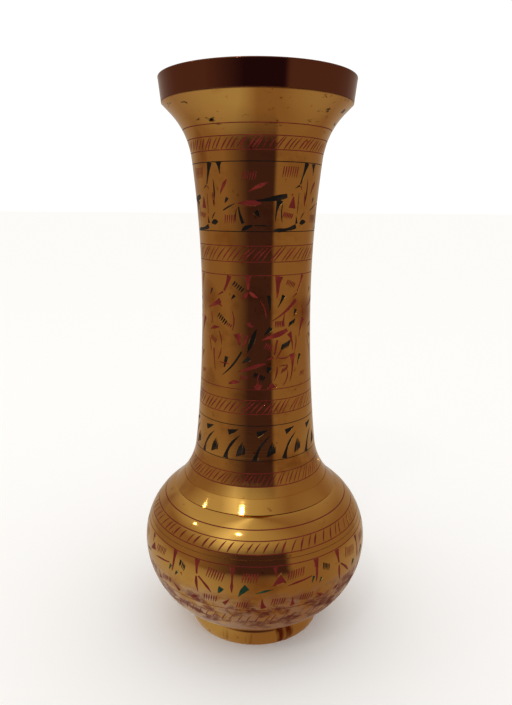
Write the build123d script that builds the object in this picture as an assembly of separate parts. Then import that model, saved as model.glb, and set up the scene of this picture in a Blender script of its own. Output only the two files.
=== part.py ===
"""Engraved brass flower vase, 204 mm tall: foot ring, bowl, shoulder, neck and mouth rim.

Units are millimetres. +Z is up and is the axis that every piece was turned on. The origin is the
centre of the face that the foot stands on. Every section is drawn as (radius, height) and revolved.
"""

from build123d import *
from math import hypot, sqrt
import os

# ---- driving dimensions -------------------------------------------------------------------------
height = 204.0
wall = 1.4

foot_height = 7.0
foot_bottom_radius = 25.9
foot_swell_radius = 26.5
foot_top_radius = 25.5
foot_wall = 2.4

belly_radius = 43.4
belly_height = 35.0
belly_seam_rise = 10.4  # seam between bowl and shoulder, above the belly's widest point
bowl_floor = 1.8

neck_joint_height = 56.8
root_curve = 27.5  # section radius where the neck spreads onto the shoulder
root_centre_rise = 20.1  # height of that arc's centre above the neck joint
waist_radius = 20.05
waist_height = 130.0
lower_neck_curve = 540.0
throat_radius = 23.05  # where the neck has opened to the start of the flare
throat_drop = 26.0  # how far the throat lies below the mouth
flare_curve = 26.0

rim_height = 8.3
rim_bottom_radius = 33.05
rim_top_radius = 34.05
rim_wall = 3.3

# ---- joints -------------------------------------------------------------------------------------
solder_film = 0.15
spigot_wall = 1.2
spigot_length = 2.6
flange_step = 0.4  # how far the neck's flange stands proud of the shoulder below it
seam_bevel = 0.4  # turned off both lips of the seam at the neck joint
edge_round = 0.35

# ---- turned lines and the lac that fills them ---------------------------------------------------
line_width = 0.4
line_depth = 0.25
lac_recess = 0.05
step_width = 0.35
step_depth = 0.15

# Measured down from the top of the rim.
red_lines_below_rim = (17.0, 20.5, 24.7, 55.0, 60.3, 64.8)
black_lines_below_rim = (28.2, 50.3)
# Measured up from the neck joint.
red_lines_above_joint = (8.0, 12.4, 33.8, 38.8, 42.7)
black_lines_above_joint = (16.8, 29.6)
bare_line_above_joint = 4.4
# Measured down from the neck joint.
red_lines_on_shoulder = (3.2, 6.0, 9.7)
# Measured up from the belly's widest point.
red_lines_on_bowl = (8.6, -7.8, -15.7)

# ---- sizes that follow --------------------------------------------------------------------------
belly_seam_height = belly_height + belly_seam_rise
rim_bottom_height = height - rim_height
throat_opening = throat_radius - waist_radius
throat_rise = height - throat_drop - waist_height
upper_neck_curve = (throat_opening**2 + throat_rise**2) / (2 * throat_opening)
waist_centre_lower = waist_radius + lower_neck_curve
waist_centre_upper = waist_radius + upper_neck_curve

# The root arc touches the lower neck arc from inside.
root_centre_height = neck_joint_height + root_centre_rise
root_centre_radius = waist_centre_lower - sqrt(
    (lower_neck_curve - root_curve) ** 2 - (waist_height - root_centre_height) ** 2
)


def flare_centre():
    """Centre of the arc that touches both the upper neck arc and the 45 degree cone under the rim."""
    cone = rim_bottom_height - rim_bottom_radius
    reach = upper_neck_curve - flare_curve
    across = waist_centre_upper + cone - sqrt(2) * flare_curve
    half_sum = across + waist_height
    up = (half_sum - sqrt(half_sum**2 - 2 * (across**2 + waist_height**2 - reach**2))) / 2
    return up - cone + sqrt(2) * flare_curve, up


def touch_height(centre_a, centre_b, reach):
    """Height where two arcs touch: on the line from centre a through centre b, reach from a."""
    run, rise = centre_b[0] - centre_a[0], centre_b[1] - centre_a[1]
    return centre_a[1] + rise * reach / hypot(run, rise)


def curve_through(side_radius, side_height):
    """Radius of the body arc that stands upright at the belly and passes through this point."""
    inward = belly_radius - side_radius
    return (inward**2 + (side_height - belly_height) ** 2) / (2 * inward)


def arc_radius(arc, at_height, inset=0.0):
    """Radius of an arc (centre radius, centre height, section radius, +1 bulging or -1 hollow)."""
    centre_radius, centre_height, section_radius, bulge = arc
    section = section_radius - bulge * inset
    return centre_radius + bulge * sqrt(section**2 - (at_height - centre_height) ** 2)


flare_centre_radius, flare_centre_height = flare_centre()
root_arc = (root_centre_radius, root_centre_height, root_curve, -1)
lower_neck_arc = (waist_centre_lower, waist_height, lower_neck_curve, -1)
upper_neck_arc = (waist_centre_upper, waist_height, upper_neck_curve, -1)
flare_arc = (flare_centre_radius, flare_centre_height, flare_curve, -1)

neck_flange_radius = arc_radius(root_arc, neck_joint_height)
shoulder_top_radius = neck_flange_radius - flange_step
shoulder_curve = curve_through(shoulder_top_radius, neck_joint_height)
shoulder_arc = (belly_radius - shoulder_curve, belly_height, shoulder_curve, 1)
bowl_curve = curve_through(foot_top_radius, foot_height)
bowl_arc = (belly_radius - bowl_curve, belly_height, bowl_curve, 1)


def root_end_height(inset=0.0):
    """Where the root arc runs into the lower neck arc."""
    return touch_height(lower_neck_arc, root_arc, lower_neck_curve + inset)


def flare_start_height(inset=0.0):
    """Where the upper neck arc runs into the flare."""
    return touch_height(upper_neck_arc, flare_arc, upper_neck_curve + inset)


def cone_start_height(inset=0.0):
    """Where the flare runs into the 45 degree cone under the rim."""
    return flare_centre_height + (flare_curve + inset) / sqrt(2)


def arc_at(at_height):
    """The arc that makes the outside of the body or neck at this height."""
    arcs = (
        (belly_height, bowl_arc),
        (neck_joint_height, shoulder_arc),
        (root_end_height(), root_arc),
        (waist_height, lower_neck_arc),
        (flare_start_height(), upper_neck_arc),
    )
    return next((arc for top, arc in arcs if at_height < top), flare_arc)


# ---- drawing and turning ------------------------------------------------------------------------
def curve(arc, start, end, inset=0.0):
    """The stretch of an arc between two heights."""
    middle = (start + end) / 2
    return ThreePointArc(
        *((arc_radius(arc, z, inset), z) for z in (start, middle, end)),
    )


def turned(edges):
    """One closed section, given as edges in (radius, height), revolved about the axis."""
    return revolve(Plane.XZ * make_face(edges), Axis.Z)


def band(inner, outer, bottom, top):
    """A turned ring of rectangular section."""
    return turned(
        Polyline((inner, bottom), (outer, bottom), (outer, top), (inner, top), (inner, bottom))
    )


def line_ring(at_height, width, top, bottom):
    """A ring square to the surface at this height, from depth top down to depth bottom."""
    arc = arc_at(at_height)
    radius = arc_radius(arc, at_height)
    toward = (radius - arc[0], at_height - arc[1])
    normal = tuple(arc[3] * part / hypot(*toward) for part in toward)
    along = (-normal[1], normal[0])

    def corner(side, depth):
        return (
            radius + along[0] * side * width / 2 - normal[0] * depth,
            at_height + along[1] * side * width / 2 - normal[1] * depth,
        )

    corners = (corner(-1, top), corner(1, top), corner(1, bottom), corner(-1, bottom))
    return turned(Polyline(*corners, corners[0]))


def cut_lines(shell, heights, width=line_width, depth=line_depth):
    """Cuts turned grooves into a shell, starting clear of its surface."""
    for at_height in heights:
        shell -= line_ring(at_height, width, -1.0, depth)
    return shell


def lac_lines(heights):
    """The lac left in the grooves, scraped a little below the brass."""
    return Compound([line_ring(z, line_width, lac_recess, line_depth) for z in heights])


# ---- brass pieces -------------------------------------------------------------------------------
foot_spigot_radius = foot_top_radius - foot_wall - solder_film
foot_bore = foot_spigot_radius + solder_film
foot_seat = foot_height - solder_film
seam_spigot_top = belly_seam_height + spigot_length
seam_bore = arc_radius(shoulder_arc, seam_spigot_top, wall)
seam_spigot_radius = seam_bore - solder_film
seam_face = belly_seam_height + solder_film
neck_bore = shoulder_top_radius - seam_bevel - spigot_wall
neck_spigot_radius = neck_bore - solder_film
neck_face = neck_joint_height + solder_film
rim_inner_radius = rim_top_radius - rim_wall
rim_spigot_radius = rim_inner_radius + spigot_wall
rim_bore = rim_spigot_radius + solder_film
rim_face = rim_bottom_height + solder_film
spigot_top = rim_bottom_height + spigot_length


def foot_ring():
    """Swelling ring, open underneath, with a land for the bowl on its top."""
    swell_height = foot_height * 0.4
    edges = ThreePointArc(
        (foot_bottom_radius, 0), (foot_swell_radius, swell_height), (foot_top_radius, foot_seat)
    )
    edges += Polyline(
        (foot_top_radius, foot_seat), (foot_bore, foot_seat), (foot_bore, 0), (foot_bottom_radius, 0)
    )
    return turned(edges)


def bowl():
    """Lower body: a cup with a flat floor, a locating ring below and a tongue round its mouth."""
    floor_top = foot_height + bowl_floor
    tongue_inner = seam_spigot_radius - spigot_wall
    tongue_root = belly_seam_height - wall
    edges = curve(bowl_arc, foot_height, belly_height)
    edges += curve(shoulder_arc, belly_height, belly_seam_height)
    edges += Polyline(
        (arc_radius(shoulder_arc, belly_seam_height), belly_seam_height),
        (seam_spigot_radius, belly_seam_height),
        (seam_spigot_radius, seam_spigot_top),
        (tongue_inner, seam_spigot_top),
        (tongue_inner, tongue_root),
        (arc_radius(shoulder_arc, tongue_root, wall), tongue_root),
    )
    edges += curve(shoulder_arc, tongue_root, belly_height, wall)
    edges += curve(bowl_arc, belly_height, floor_top, wall)
    edges += Polyline(
        (arc_radius(bowl_arc, floor_top, wall), floor_top),
        (0, floor_top),
        (0, foot_height),
        (foot_top_radius, foot_height),
    )
    locating_ring = band(
        foot_spigot_radius - spigot_wall, foot_spigot_radius, foot_height - spigot_length, foot_height
    )
    return cut_lines(turned(edges) + locating_ring, bowl_lines)


def shoulder():
    """Upper body: a dome from the belly seam to a thickened seat for the neck."""
    seat_under = neck_joint_height - spigot_length
    edges = curve(shoulder_arc, seam_face, neck_joint_height - seam_bevel)
    edges += Polyline(
        (arc_radius(shoulder_arc, neck_joint_height - seam_bevel), neck_joint_height - seam_bevel),
        (shoulder_top_radius - seam_bevel, neck_joint_height),
        (neck_bore, neck_joint_height),
        (neck_bore, seat_under),
        (arc_radius(shoulder_arc, seat_under, wall), seat_under),
    )
    edges += curve(shoulder_arc, seat_under, seam_spigot_top, wall)
    edges += Polyline(
        (seam_bore, seam_spigot_top),
        (seam_bore, seam_face),
        (arc_radius(shoulder_arc, seam_face), seam_face),
    )
    return cut_lines(turned(edges), shoulder_lines)


def neck_side(bottom, inset=0.0):
    """The neck's line from a height on its root up to the cone under the rim."""
    edges = curve(root_arc, bottom, root_end_height(inset), inset)
    edges += curve(lower_neck_arc, root_end_height(inset), waist_height, inset)
    edges += curve(upper_neck_arc, waist_height, flare_start_height(inset), inset)
    edges += curve(flare_arc, flare_start_height(inset), cone_start_height(inset), inset)
    return edges


def neck():
    """Long neck with a spreading root, a spigot at each end and a flare that carries the rim."""
    spigot_bottom = neck_joint_height - spigot_length
    spigot_inner = neck_spigot_radius - spigot_wall
    bevel_top = neck_face + seam_bevel
    # The root is hollowed as a cone as far up as the plain wall begins.
    hollow_top = neck_joint_height + spigot_length
    cone_start, inner_cone_start = cone_start_height(), cone_start_height(wall)
    inner_cone_radius = arc_radius(flare_arc, inner_cone_start, wall)
    edges = neck_side(bevel_top)
    edges += Polyline(
        (arc_radius(flare_arc, cone_start), cone_start),
        (rim_bottom_radius, rim_bottom_height),
        (rim_spigot_radius, rim_bottom_height),
        (rim_spigot_radius, spigot_top),
        (rim_inner_radius, spigot_top),
        (rim_inner_radius, inner_cone_start + rim_inner_radius - inner_cone_radius),
        (inner_cone_radius, inner_cone_start),
    )
    edges += neck_side(hollow_top, wall)
    edges += Polyline(
        (arc_radius(root_arc, hollow_top, wall), hollow_top),
        (spigot_inner, neck_joint_height),
        (spigot_inner, spigot_bottom),
        (neck_spigot_radius, spigot_bottom),
        (neck_spigot_radius, neck_face),
        (neck_flange_radius - seam_bevel, neck_face),
        (arc_radius(root_arc, bevel_top), bevel_top),
    )
    shell = cut_lines(turned(edges), neck_lines)
    return cut_lines(shell, (neck_joint_height + bare_line_above_joint,), step_width, step_depth)


def mouth_rim():
    """Thick upright band with a broken top edge, bored to sit over the neck's spigot."""
    bore_top = spigot_top + solder_film
    edges = Polyline(
        (rim_bottom_radius, rim_face),
        (rim_top_radius, height),
        (rim_inner_radius, height),
        (rim_inner_radius, bore_top),
        (rim_bore, bore_top),
        (rim_bore, rim_face),
        (rim_bottom_radius, rim_face),
    )
    ring = turned(edges)
    return fillet(ring.edges().group_by(Axis.Z)[-1], edge_round)


# ---- solder films -------------------------------------------------------------------------------
def film_round(land_outer, inner, outer, land_bottom, sleeve_bottom, sleeve_top):
    """Solder between two pieces: a flat land, and a sleeve round the spigot inside it."""
    land = band(inner, land_outer, land_bottom, land_bottom + solder_film)
    return land + band(inner, outer, sleeve_bottom, sleeve_top)


def foot_solder():
    """Film on the foot ring's land and round the bowl's locating ring."""
    return film_round(
        foot_top_radius, foot_spigot_radius, foot_bore, foot_seat, foot_height - spigot_length, foot_height
    )


def belly_solder():
    """Film in the seam between bowl and shoulder."""
    return film_round(
        arc_radius(shoulder_arc, seam_face),
        seam_spigot_radius,
        seam_bore,
        belly_seam_height,
        belly_seam_height,
        seam_spigot_top,
    )


def neck_solder():
    """Film under the neck's flange, seen at the bottom of the beveled seam."""
    return film_round(
        shoulder_top_radius - seam_bevel,
        neck_spigot_radius,
        neck_bore,
        neck_joint_height,
        neck_joint_height - spigot_length,
        neck_face,
    )


def rim_solder():
    """Film under the rim and round the spigot inside it."""
    return film_round(
        rim_bottom_radius, rim_spigot_radius, rim_bore, rim_bottom_height, rim_bottom_height, spigot_top
    )


# ---- where the lines run ------------------------------------------------------------------------
red_neck_lines = [height - drop for drop in red_lines_below_rim]
red_neck_lines += [neck_joint_height + rise for rise in red_lines_above_joint]
black_neck_lines = [height - drop for drop in black_lines_below_rim]
black_neck_lines += [neck_joint_height + rise for rise in black_lines_above_joint]
neck_lines = red_neck_lines + black_neck_lines
shoulder_lines = [neck_joint_height - drop for drop in red_lines_on_shoulder]
bowl_lines = [belly_height + rise for rise in red_lines_on_bowl]

# ---- files --------------------------------------------------------------------------------------
nodes = {
    "foot_ring": foot_ring(),
    "bowl": bowl(),
    "shoulder": shoulder(),
    "neck": neck(),
    "mouth_rim": mouth_rim(),
    "foot_solder": foot_solder(),
    "belly_solder": belly_solder(),
    "neck_solder": neck_solder(),
    "rim_solder": rim_solder(),
    "red_lac_neck_lines": lac_lines(red_neck_lines),
    "black_lac_neck_lines": lac_lines(black_neck_lines),
    "red_lac_shoulder_lines": lac_lines(shoulder_lines),
    "red_lac_bowl_lines": lac_lines(bowl_lines),
}

os.makedirs("parts", exist_ok=True)
for name, shape in nodes.items():
    export_step(shape, f"parts/{name}.step")
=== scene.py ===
"""Builds the looks of an engraved brass vase round its CAD frame: turned shells with lac-filled cuts."""

import math
import random

import bpy
import numpy as np
from mathutils import Matrix, Vector


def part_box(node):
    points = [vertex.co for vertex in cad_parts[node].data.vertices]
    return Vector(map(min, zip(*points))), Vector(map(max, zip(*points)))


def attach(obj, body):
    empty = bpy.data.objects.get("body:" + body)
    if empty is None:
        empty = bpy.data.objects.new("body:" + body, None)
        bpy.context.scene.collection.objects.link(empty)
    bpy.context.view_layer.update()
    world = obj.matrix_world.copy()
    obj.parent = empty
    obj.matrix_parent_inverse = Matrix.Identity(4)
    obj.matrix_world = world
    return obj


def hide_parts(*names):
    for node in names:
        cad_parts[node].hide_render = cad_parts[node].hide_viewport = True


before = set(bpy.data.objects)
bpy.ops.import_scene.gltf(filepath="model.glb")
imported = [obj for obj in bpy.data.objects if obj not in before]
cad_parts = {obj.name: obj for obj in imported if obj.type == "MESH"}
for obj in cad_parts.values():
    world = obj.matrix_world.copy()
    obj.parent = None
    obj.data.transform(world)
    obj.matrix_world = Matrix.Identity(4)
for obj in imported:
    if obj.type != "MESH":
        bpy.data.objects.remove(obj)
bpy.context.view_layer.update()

bl_info = {
    "name": "Engraved Brass Vase",
    "version": (1, 0, 0),
    "blender": (4, 5, 0),
    "location": "View3D > Sidebar > Vase",
    "description": "Turned brass vase with graver cuts filled with coloured lac",
    "category": "Object",
}

MM = 0.001
FULL_TURN = 2 * math.pi


# ---- sizes and colours --------------------------------------------------------------------------
def length(name, description, default_mm):
    """A length property, given in millimetres and kept in metres."""
    return bpy.props.FloatProperty(
        name=name, description=description, default=default_mm * MM, unit="LENGTH", precision=5
    )


def tint(name, description, hex_code):
    """A colour property from an sRGB hex code."""
    return bpy.props.FloatVectorProperty(
        name=name, description=description, default=linear(hex_code), subtype="COLOR", size=3, min=0, max=1
    )


def linear(hex_code):
    """An sRGB hex code as linear red, green and blue."""
    parts = [int(hex_code[i : i + 2], 16) / 255 for i in (0, 2, 4)]
    return tuple(p / 12.92 if p <= 0.04045 else ((p + 0.055) / 1.055) ** 2.4 for p in parts)


class VaseSizes(bpy.types.PropertyGroup):
    """Sizes of the turned form and of the cuts in it."""

    belly_radius: length("Belly radius", "Widest radius of the body", 43.4)
    belly_height: length("Belly height", "Height of the widest point", 35.0)
    waist_radius: length("Waist radius", "Narrowest radius of the neck", 20.05)
    waist_height: length("Waist height", "Height of the narrowest point", 130.0)
    wall: length("Wall", "Thickness of the turned brass", 1.4)
    line_width: length("Line width", "Width of a turned line", 0.28)
    line_depth: length("Line depth", "Depth of a turned line", 0.25)
    cut_depth: length("Cut depth", "Depth of a graver cut", 0.3)
    lac_recess: length("Lac recess", "How far the scraped lac lies below the brass", 0.05)
    bead_rise: length("Bead rise", "How far the turned bands on the shoulder swell", 0.045)


class VaseColours(bpy.types.PropertyGroup):
    """Colours of the metal and of the lac."""

    brass: tint("Brass", "Bright metal where the polish is fresh", "DAA857")
    tarnish: tint("Tarnish", "Metal that has browned", "A8692B")
    red_lac: tint("Red lac", "Lac in most of the cuts", "600F09")
    black_lac: tint("Black lac", "Lac in the bold strokes", "100E0B")
    green_lac: tint("Green lac", "Lac in a few leaves", "0B2E1C")
    floor: tint("Floor", "Paper that the vase stands on", "F8F6F3")


# ---- the turned outline -------------------------------------------------------------------------
ROOT_CURVE, ROOT_RISE = 27.5 * MM, 20.1 * MM  # where the neck spreads onto the shoulder
LOWER_CURVE, FLARE_CURVE = 540 * MM, 26 * MM
THROAT_OPENING, THROAT_DROP = 3.0 * MM, 26.0 * MM
FLANGE_STEP = 0.4 * MM  # how far the neck's flange stands proud of the shoulder
FILM = 0.15 * MM  # solder between two pieces
SPIGOT_WALL, SPIGOT = 1.2 * MM, 2.6 * MM
SEAM_BEVEL = 0.15 * MM  # turned off both lips of the seam at the neck joint
FOOT_WALL, RIM_WALL, FLOOR = 2.4 * MM, 3.3 * MM, 1.8 * MM


class Outline:
    """The outside of body and neck as arcs that run into each other, in metres."""

    def __init__(self, sizes):
        self.foot_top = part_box("foot_solder")[1].z
        self.foot_top_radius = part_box("foot_solder")[1].x
        self.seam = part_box("belly_solder")[0].z
        self.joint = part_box("shoulder")[1].z
        self.rim_bottom, self.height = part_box("rim_solder")[0].z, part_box("mouth_rim")[1].z
        self.rim_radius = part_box("rim_solder")[1].x
        self.wall = sizes.wall
        belly, mid = sizes.belly_radius, sizes.belly_height
        waist, waist_z = sizes.waist_radius, sizes.waist_height
        lower, flare = LOWER_CURVE, FLARE_CURVE
        opening, rise = THROAT_OPENING, self.height - THROAT_DROP - waist_z
        upper = (opening**2 + rise**2) / (2 * opening)
        lower_centre, upper_centre = waist + lower, waist + upper
        root_z = self.joint + ROOT_RISE
        root_r = lower_centre - math.sqrt((lower - ROOT_CURVE) ** 2 - (waist_z - root_z) ** 2)
        self.flange_radius = root_r - math.sqrt(ROOT_CURVE**2 - ROOT_RISE**2)
        self.shoulder_top_radius = self.flange_radius - FLANGE_STEP
        bowl = self.curve_through(belly, mid, self.foot_top_radius, self.foot_top)
        shoulder = self.curve_through(belly, mid, self.shoulder_top_radius, self.joint)
        cone = self.rim_bottom - self.rim_radius
        across = upper_centre + cone - math.sqrt(2) * flare
        total = across + waist_z
        spread = total**2 - 2 * (across**2 + waist_z**2 - (upper - flare) ** 2)
        flare_z = (total - math.sqrt(spread)) / 2
        flare_r = flare_z - cone + math.sqrt(2) * flare
        self.root = (root_r, root_z, ROOT_CURVE, -1)
        self.flare = (flare_r, flare_z, flare, -1)
        lower_arc = (lower_centre, waist_z, lower, -1)
        upper_arc = (upper_centre, waist_z, upper, -1)
        self.arcs = (
            (mid, (belly - bowl, mid, bowl, 1)),
            (self.joint, (belly - shoulder, mid, shoulder, 1)),
            (self.meeting(lower_arc, self.root), self.root),
            (waist_z, lower_arc),
            (self.meeting(upper_arc, self.flare), upper_arc),
            (flare_z + flare / math.sqrt(2), self.flare),
        )
        self.inner_cone_start = flare_z + (flare + self.wall) / math.sqrt(2)
        self.cone = cone
        self.beads = ()

    @staticmethod
    def curve_through(belly, mid, side_radius, side_height):
        """Section radius of an arc upright at the belly that passes through a lower or higher point."""
        inward = belly - side_radius
        return (inward**2 + (side_height - mid) ** 2) / (2 * inward)

    @staticmethod
    def meeting(outer, inner):
        """Height where the smaller arc touches the larger."""
        run, rise = inner[0] - outer[0], inner[1] - outer[1]
        return outer[1] + rise * outer[2] / math.hypot(run, rise)

    def plain(self, z):
        """Radius and outward normal (out, up) of the plain turned form at heights z."""
        z = np.asarray(z, float)
        radius = z - self.cone
        out = np.full_like(radius, math.sqrt(0.5))
        up = -out
        for top, (centre_r, centre_z, section, bulge) in reversed(self.arcs):
            below = z < top
            rise = np.clip(z - centre_z, -section, section)
            reach = np.sqrt(section**2 - rise**2)
            radius = np.where(below, centre_r + bulge * reach, radius)
            out = np.where(below, reach / section, out)
            up = np.where(below, bulge * rise / section, up)
        return radius, out, up

    def bore(self, z):
        """Radius of the inside wall at one height."""
        if z > self.inner_cone_start:
            return z - self.cone - math.sqrt(2) * self.wall
        arc = next(arc for top, arc in self.arcs if z < top or arc == self.flare)
        centre_r, centre_z, section, bulge = arc
        inside = section - bulge * self.wall
        return centre_r + bulge * math.sqrt(inside**2 - (z - centre_z) ** 2)

    def swell(self, z):
        """How far the turned beads stand proud, or a cove lies in, at heights z."""
        rise = np.zeros_like(np.asarray(z, float))
        for low, high, crown in self.beads:
            t = np.clip((z - low) / (high - low), 0, 1)
            rise = rise + crown * 4 * t * (1 - t)
        return rise

    def point(self, z, depth=0.0):
        """Radius and height of the point that lies depth below the surface at heights z."""
        radius, out, up = self.plain(z)
        sink = depth - self.swell(z)
        return radius - sink * out, z - sink * up


# ---- modelling helpers --------------------------------------------------------------------------
SAME_PLACE = 0.004 * MM  # a vertex this close to a point is that point
WELD = 0.01 * MM
SMOOTH_ANGLE = math.radians(32)
GROOVE_BOTTOM = 0.28  # half the flat bottom of a turned line, as a share of its width


def begin():
    """Leaves edit mode with nothing selected."""
    if bpy.context.mode != "OBJECT":
        bpy.ops.object.mode_set(mode="OBJECT")
    bpy.ops.object.select_all(action="DESELECT")


def finish_piece(piece, material):
    """Smooths, paints and registers a finished piece."""
    begin()
    piece.select_set(True)
    bpy.context.view_layer.objects.active = piece
    bpy.ops.object.shade_smooth_by_angle(angle=SMOOTH_ANGLE)
    piece.data.materials.clear()
    piece.data.materials.append(material)
    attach(piece, "root")


def pick(piece, places):
    """Selects the points of a section at these (radius, height) places, and nothing else, in edit mode."""
    bpy.ops.mesh.select_all(action="DESELECT")
    bpy.ops.object.mode_set(mode="OBJECT")
    for vertex in piece.data.vertices:
        vertex.select = any(math.dist((vertex.co.x, vertex.co.z), place) < SAME_PLACE for place in places)
    bpy.ops.object.mode_set(mode="EDIT")


def turn(name, sections, steps):
    """Spins closed sections, each given as (radius, height) points, round the vase's axis."""
    begin()
    piece = bpy.data.objects.new(name, bpy.data.meshes.new(name))
    bpy.context.scene.collection.objects.link(piece)
    bpy.context.view_layer.objects.active = piece
    bpy.ops.object.mode_set(mode="EDIT")
    bpy.ops.mesh.select_mode(type="VERT")
    for section in sections:
        bpy.ops.mesh.primitive_plane_add(size=MM, location=(section[0][0], 0, section[0][1]))
        bpy.ops.mesh.merge(type="CENTER")
        for last, following in zip(section, section[1:]):
            step = (following[0] - last[0], 0, following[1] - last[1])
            bpy.ops.mesh.extrude_region_move(TRANSFORM_OT_translate={"value": step})
        pick(piece, (section[0], section[-1]))
        bpy.ops.mesh.edge_face_add()
    bpy.ops.mesh.select_all(action="SELECT")
    bpy.ops.mesh.spin(steps=steps, angle=FULL_TURN, center=(0, 0, 0), axis=(0, 0, 1))
    bpy.ops.mesh.select_all(action="SELECT")
    bpy.ops.mesh.remove_doubles(threshold=WELD)
    bpy.ops.mesh.delete_loose(use_verts=True, use_edges=True, use_faces=False)
    bpy.ops.mesh.select_all(action="SELECT")
    bpy.ops.mesh.normals_make_consistent(inside=False)
    bpy.ops.object.mode_set(mode="OBJECT")
    return piece


def turned_side(outline, low, high, pitch, lines=(), width=0.0, depth=0.0):
    """Points up the outside from low to high, with a groove of the given width and depth at each line."""
    count = max(2, round((high - low) / pitch))
    clear = [z for z in np.linspace(low, high, count + 1) if all(abs(z - line) > width for line in lines)]
    rows = [(z, 0.0) for z in clear]
    for line in lines:
        if low < line < high:
            for share, sink in ((-0.5, 0.0), (-GROOVE_BOTTOM, depth), (GROOVE_BOTTOM, depth), (0.5, 0.0)):
                rows.append((line + share * width, sink))
    return [tuple(float(part) for part in outline.point(z, sink)) for z, sink in sorted(rows)]


def inner_side(outline, high, low, pitch):
    """Points down the inside wall from high to low."""
    count = max(2, round((high - low) / pitch))
    return [(outline.bore(z), z) for z in map(float, np.linspace(high, low, count + 1))]


# ---- graver cuts --------------------------------------------------------------------------------
SPANS = 8  # straight stretches along one cut
WALL_LEAN = 0.35  # how much narrower a cut is at its bottom
FINEST = 0.03  # half the narrowest cut, in millimetres
APART_SHARE, APART = 1.3, 0.12  # cuts stay apart by this share of their half widths, and by these millimetres
NEARBY = 1.5  # millimetres past which two cuts need no closer look


class Cut:
    """One push of the graver: a curved path on the surface, in millimetres, with its width along it."""

    def __init__(self, start, end, widths, bend=(0.0, 0.0), colour="red_lac"):
        self.start, self.end = np.array(start, float), np.array(end, float)
        self.widths, self.bend, self.colour = widths, bend, colour

    def moved(self, across, up=0.0, scale=1.0):
        """The same cut further round and higher, with its width scaled."""
        shift = np.array((across, up))
        widths = tuple(w * scale for w in self.widths)
        return Cut(self.start + shift, self.end + shift, widths, self.bend, self.colour)

    def path(self, t):
        """Points, left-hand normals and half widths at shares t of the way along."""
        run = self.end - self.start
        size = np.hypot(*run)
        side = np.array((-run[1], run[0])) / size
        first = self.start + run / 3 + side * self.bend[0]
        second = self.start + run * 2 / 3 + side * self.bend[1]
        t = np.asarray(t)[:, None]
        corners = (self.start, first, second, self.end)
        weights = ((1 - t) ** 3, 3 * t * (1 - t) ** 2, 3 * t * t * (1 - t), t**3)
        points = sum(weight * corner for weight, corner in zip(weights, corners))
        slope = 3 * (1 - t) ** 2 * (first - self.start) + 6 * t * (1 - t) * (second - first)
        slope = slope + 3 * t * t * (self.end - second)
        slope /= np.hypot(slope[:, :1], slope[:, 1:])
        normals = np.column_stack((-slope[:, 1], slope[:, 0]))
        half = np.interp(t[:, 0], np.linspace(0, 1, len(self.widths)), self.widths) / 2
        return points, normals, np.maximum(half, FINEST)


def graver_template():
    """A bar of unit length, cut into spans along it, that each graver cut is bent from."""
    begin()
    bpy.ops.mesh.primitive_cube_add(size=1, location=(0.5, 0, 0))
    bar = bpy.context.object
    bpy.ops.object.transform_apply(location=True)
    bpy.ops.object.mode_set(mode="EDIT")
    bpy.ops.mesh.select_all(action="DESELECT")
    bpy.ops.mesh.select_mode(type="EDGE")
    bpy.ops.object.mode_set(mode="OBJECT")
    for edge in bar.data.edges:
        a, b = (bar.data.vertices[i].co for i in edge.vertices)
        edge.select = abs(a.x - b.x) > 0.5
    bpy.ops.object.mode_set(mode="EDIT")
    bpy.ops.mesh.subdivide(number_cuts=SPANS - 1)
    bpy.ops.mesh.select_all(action="SELECT")
    bpy.ops.mesh.normals_make_consistent(inside=False)
    bpy.ops.object.mode_set(mode="OBJECT")
    points = np.array([v.co for v in bar.data.vertices])
    faces = [tuple(p.vertices) for p in bar.data.polygons]
    bpy.data.meshes.remove(bar.data)
    return points, faces


def bend_cuts(name, template, cuts, outline, top, bottom, cut_depth):
    """One mesh with a copy of the template bent along every cut, between two depths."""
    bar, bar_faces = template
    share, side, layer = bar[:, 0], np.sign(bar[:, 1]), bar[:, 2] > 0
    depth = np.where(layer, top, bottom)
    lean = 1 - WALL_LEAN * depth / cut_depth
    points, faces = [], []
    for cut, home, band_radius in cuts:
        place, normal, half = cut.path(share)
        flat = place + normal * (side * half * lean)[:, None]
        radius, z = outline.point(home + flat[:, 1] * MM, depth)
        angle = flat[:, 0] * MM / band_radius
        points.append(np.column_stack((radius * np.sin(angle), -radius * np.cos(angle), z)))
        first = len(faces) // len(bar_faces) * len(bar)
        faces += [tuple(first + i for i in face) for face in bar_faces]
    mesh = bpy.data.meshes.new(name)
    mesh.from_pydata(np.concatenate(points).tolist(), [], faces)
    piece = bpy.data.objects.new(name, mesh)
    bpy.context.scene.collection.objects.link(piece)
    begin()
    piece.select_set(True)
    bpy.context.view_layer.objects.active = piece
    bpy.ops.object.mode_set(mode="EDIT")
    bpy.ops.mesh.select_all(action="SELECT")
    bpy.ops.mesh.normals_make_consistent(inside=False)
    bpy.ops.object.mode_set(mode="OBJECT")
    return piece


def passes(cuts):
    """Sorts cuts into groups in which no two touch, so that each group can be cut in one go."""
    groups = []
    spots = np.linspace(0, 1, SPANS + 1)
    for entry in cuts:
        cut, home, band_radius = entry
        place, _, half = cut.path(spots)
        place = place + (0, home / MM)
        for group in groups:
            if all(clear_of(place, half, other) for other in group["shapes"]):
                break
        else:
            group = {"cuts": [], "shapes": []}
            groups.append(group)
        group["cuts"].append(entry)
        group["shapes"].append((place, half))
    return [group["cuts"] for group in groups]


def clear_of(place, half, other):
    """Whether two cuts stay apart."""
    reach = half.max() + other[1].max() + NEARBY
    if (place.min(0) - reach > other[0].max(0)).any() or (place.max(0) + reach < other[0].min(0)).any():
        return True
    gaps = np.hypot(*(place[:, None] - other[0][None]).transpose(2, 0, 1))
    return bool((gaps > APART_SHARE * (half[:, None] + other[1][None]) + APART).all())


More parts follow.
